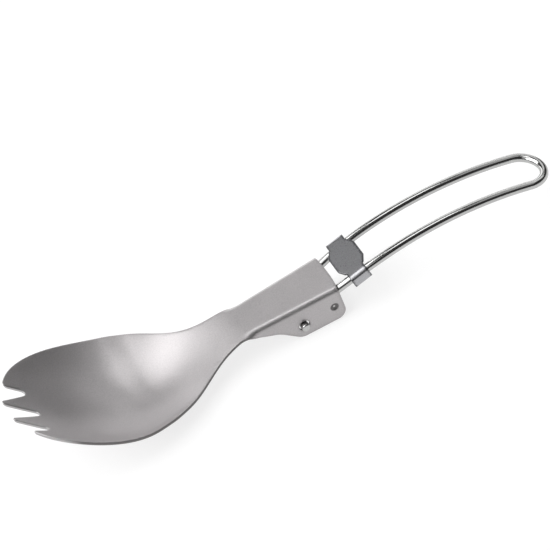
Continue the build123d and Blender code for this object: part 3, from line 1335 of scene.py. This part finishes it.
@dataclass
class WireHandle:
    """The handle: one wire bent from pin to pin round the end loop, arched in side view."""

    frame: NeckFrame
    pivot_depth: float
    pin_reach: float
    diameter: float = 2.48 * MM
    arch_radius: float = 105 * MM
    pitch: float = math.radians(23.2)
    leg_length: float = 75.9 * MM
    half_gap: float = 6.45 * MM
    half_gap_at_pivot: float = 4.0 * MM
    flare_length: float = 30 * MM
    pin_bend: float = 2.0 * MM
    end_rounding: float = 0.5 * MM
    sides: int = 40

    def arch_point(self, length: float, half_gap: float) -> np.ndarray:
        """Point of the centre line in the neck's axes.

        Args:
            length: distance from the pivot along the arch.
            half_gap: distance from the middle.

        Returns:
            The point.
        """
        angle = self.tilt_at(length)
        x = self.arch_radius * (math.sin(self.pitch) - math.sin(angle))
        z = self.arch_radius * (math.cos(angle) - math.cos(self.pitch)) - self.pivot_depth
        return np.array([x, half_gap, z])

    def tilt_at(self, length: float) -> float:
        """How steeply the arch rises at a distance along it, in radians."""
        return self.pitch - length / self.arch_radius

    def half_gap_at(self, length: float) -> float:
        """Distance of a leg from the middle: the legs flare until they run parallel."""
        left = max(0.0, 1 - length / self.flare_length)
        return self.half_gap - (self.half_gap - self.half_gap_at_pivot) * left**2

    def half_line(self) -> np.ndarray:
        """Centre line of one side, from the pin's end to the middle of the end loop.

        Returns:
            Rows of points in the neck's axes.
        """
        yaw = math.atan2(2 * (self.half_gap - self.half_gap_at_pivot), self.flare_length)
        level = math.cos(yaw)
        rise = np.array([math.cos(self.pitch) * level, math.sin(yaw), math.sin(self.pitch) * level])
        corner = np.array([0, self.half_gap_at_pivot, -self.pivot_depth])
        outward = np.array([0.0, 1.0, 0.0])
        half_turn = (math.pi / 2 + yaw) / 2
        turn_length = self.pin_bend * math.tan(half_turn)
        tip = np.array([0, self.pin_reach, -self.pivot_depth])
        steps = [0, 0.03, 0.07, 0.12, 0.18, 0.26, 0.36, 0.5, 0.9, 1.5, 2.2]
        pin = [tip - outward * step * MM for step in steps]
        start = corner + outward * turn_length
        pin = [point for point in pin if point[1] > start[1] + 0.1 * MM]
        inward = outward + rise
        centre = corner + inward / np.linalg.norm(inward) * self.pin_bend / math.cos(half_turn)
        first, last = start - centre, corner + rise * turn_length - centre
        full = math.acos(float(first @ last) / self.pin_bend**2)
        turn = [
            centre + (first * math.sin((1 - t) * full) + last * math.sin(t * full)) / math.sin(full)
            for t in np.linspace(0, 1, 22)
        ]
        step = 0.8 * MM
        lengths = np.arange(turn_length + 1.5 * step, self.leg_length - 0.5 * step, step)
        leg = [self.arch_point(length, self.half_gap_at(length)) for length in lengths]
        end = self.arch_point(self.leg_length, 0.0)
        tilt = self.tilt_at(self.leg_length)
        ahead = np.array([math.cos(tilt), 0, math.sin(tilt)])
        loop = [
            end + self.half_gap * (ahead * math.sin(a) + outward * math.cos(a))
            for a in np.linspace(0, math.pi / 2, 28)
        ]
        return np.array(pin + turn + leg + loop)

    def centre_line(self) -> np.ndarray:
        """The whole centre line, from pin to pin, in the table's axes."""
        half = self.half_line()
        return self.frame.place(np.vstack([half, half[-2::-1] * [1, -1, 1]]))

    def piece(self, name: str, material: bpy.types.Material) -> bpy.types.Object:
        """Sweeps the wire and makes the object.

        Args:
            name: the piece's name.
            material: its finish.

        Returns:
            The object.
        """
        points = self.centre_line()
        mesh = bpy.data.meshes.new("wire_line")
        mesh.from_pydata(points.tolist(), [(i, i + 1) for i in range(len(points) - 1)], [])
        line = put_in_scene("wire_line", mesh)
        sizes = {"diameter": self.diameter, "sides": self.sides, "rounding": self.end_rounding}
        swept = SweepTree().swept(line, **sizes, material=material)
        bpy.data.objects.remove(line)
        swept.name = name
        return put_in_scene(name, swept)


# ---------------------------------------------------------------- studio


@dataclass(frozen=True)
class SoftLight:
    """A soft box: where it stands round the spork, its size and its power."""

    name: str
    azimuth: float
    elevation: float
    distance: float
    width: float
    height: float
    power: float


@dataclass(frozen=True)
class Viewpoint:
    """Where the camera stands: angles in degrees, azimuth 0 looks along +Y; its roll leans it clockwise."""

    azimuth: float
    elevation: float
    roll: float
    distance: float
    aim: tuple
    lens: float


def direction(azimuth: float, elevation: float) -> Vector:
    """Unit vector towards a place round the object, from angles in degrees."""
    a, e = math.radians(azimuth), math.radians(elevation)
    return Vector((math.sin(a) * math.cos(e), -math.cos(a) * math.cos(e), math.sin(e)))


@dataclass
class Studio:
    """A white table under soft boxes, with the camera."""

    lights: list
    viewpoint: Viewpoint
    surround: float
    floor_size: float = 12.0
    floor_shade: float = 0.25
    floor_glow: float = 0.76

    def build(self) -> None:
        """Makes the floor, the lights, the surroundings and the camera."""
        self.floor()
        for light in self.lights:
            self.soft_box(light)
        self.world()
        self.camera()

    def floor(self) -> None:
        """The white table."""
        side = self.floor_size / 2
        square = [(-side, -side, 0), (side, -side, 0), (side, side, 0), (-side, side, 0)]
        mesh = bpy.data.meshes.new("floor")
        mesh.from_pydata(square, [], [(0, 1, 2, 3)])
        sheet = NodeSheet("white_table")
        values = {"Base Color": (self.floor_shade,) * 3, "Roughness": 0.9, "Specular IOR Level": 0.0}
        values |= {"Emission Color": (1, 1, 1), "Emission Strength": self.floor_glow}
        sheet.feed(sheet.shader, values)
        mesh.materials.append(sheet.material)
        put_in_scene("floor", mesh)

    def soft_box(self, light: SoftLight) -> None:
        """Makes one area light that the camera doesn't see.

        Args:
            light: the soft box.
        """
        data = bpy.data.lights.new(light.name, "AREA")
        data.shape = "RECTANGLE"
        data.size, data.size_y = light.width, light.height
        data.energy = light.power
        made = put_in_scene(light.name, data)
        towards = direction(light.azimuth, light.elevation)
        made.location = towards * light.distance
        made.rotation_euler = (-towards).to_track_quat("-Z", "Y").to_euler()
        made.visible_camera = False

    def world(self) -> None:
        """Even grey surroundings."""
        world = bpy.data.worlds.new("surround")
        world.use_nodes = True
        world.node_tree.nodes["Background"].inputs["Color"].default_value = (self.surround,) * 3 + (1,)
        bpy.context.scene.world = world
        bpy.context.scene.view_settings.view_transform = "Standard"

    def camera(self) -> None:
        """The long lens that looks down at the spork."""
        spot = self.viewpoint
        data = bpy.data.cameras.new("camera")
        data.sensor_width = 36
        data.lens = spot.lens
        data.clip_end = 50
        made = put_in_scene("camera", data)
        back = direction(spot.azimuth, spot.elevation)
        level = (-back).to_track_quat("-Z", "Y").to_matrix()
        turn = Matrix.Rotation(math.radians(-spot.roll), 3, "Z")
        made.matrix_world = (level @ turn).to_4x4()
        made.location = Vector(spot.aim) + back * spot.distance
        bpy.context.scene.camera = made


STUDIO = Studio(
    lights=[
        SoftLight("key_high", -103, 64, 1.6, 1.9, 0.8, 15.2),
        SoftLight("key_low", -90, 38, 1.6, 2.2, 0.75, 22.5),
        SoftLight("overhead", 100, 84, 2.0, 0.8, 0.8, 4.9),
        SoftLight("right_top", 75, 56, 2.0, 1.3, 0.9, 2.0),
        SoftLight("right_back", 136, 42, 2.0, 2.2, 0.9, 6.8),
        SoftLight("behind_low", 180, 14, 2.0, 3.2, 0.7, 14.5),
        SoftLight("front_left", -36, 48, 2.0, 0.9, 0.9, 2.5),
    ],
    viewpoint=Viewpoint(
        azimuth=-12.527,
        elevation=44.272,
        roll=18.744,
        distance=1.7822,
        aim=(0.00205, 0.00953, 0.0100),
        lens=420.73,
    ),
    surround=0.05,
)


class Spork:
    """The whole folding spork: body, handle and clip on their CAD pieces."""

    def __init__(self, record: dict) -> None:
        """Reads the pivot and sets up the three pieces from it.

        Args:
            record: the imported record.
        """
        neck = NeckFrame.from_record(record)
        fold = next(j for j in record["behaviour"]["joints"] if j["name"] == "handle_fold")
        depth = -neck.depth_of(fold["pos_m"])
        self.body = SporkBody(frame=neck, pivot_depth=depth)
        reach = float(self.body.width(np.array(0.0))) / 2 + 1.4 * MM
        self.handle = WireHandle(frame=neck, pivot_depth=depth, pin_reach=reach)
        self.clip = LockClip(frame=neck, handle=self.handle)

    def build(self) -> None:
        """Makes each piece, hangs it on the CAD body that carries it and hides the CAD node that it stands
        for.
        """
        dressed = [
            (self.body, BlastedTitanium(), "body_visual", "bowl", "spork_body", "blasted_sheet"),
            (self.handle, PolishedWire(), "handle_visual", "handle", "wire_handle", "polished_wire"),
            (self.clip, SatinClip(), "clip_visual", "clip", "lock_slider", "clip_sheet"),
        ]
        for part, finish, name, body, node, slot in dressed:
            made = part.piece(name, finish.material())
            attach(made, body)
            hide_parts(node)
            LOG.info("%s: %d faces on %s", made.name, len(made.data.polygons), body)


def main() -> None:
    """Builds the spork and the studio."""
    logging.basicConfig(level=logging.INFO, format="%(name)s: %(message)s")
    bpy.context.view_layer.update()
    Spork(frame["record"]).build()
    STUDIO.build()
    bpy.context.view_layer.update()


if __name__ == "__main__":
    main()
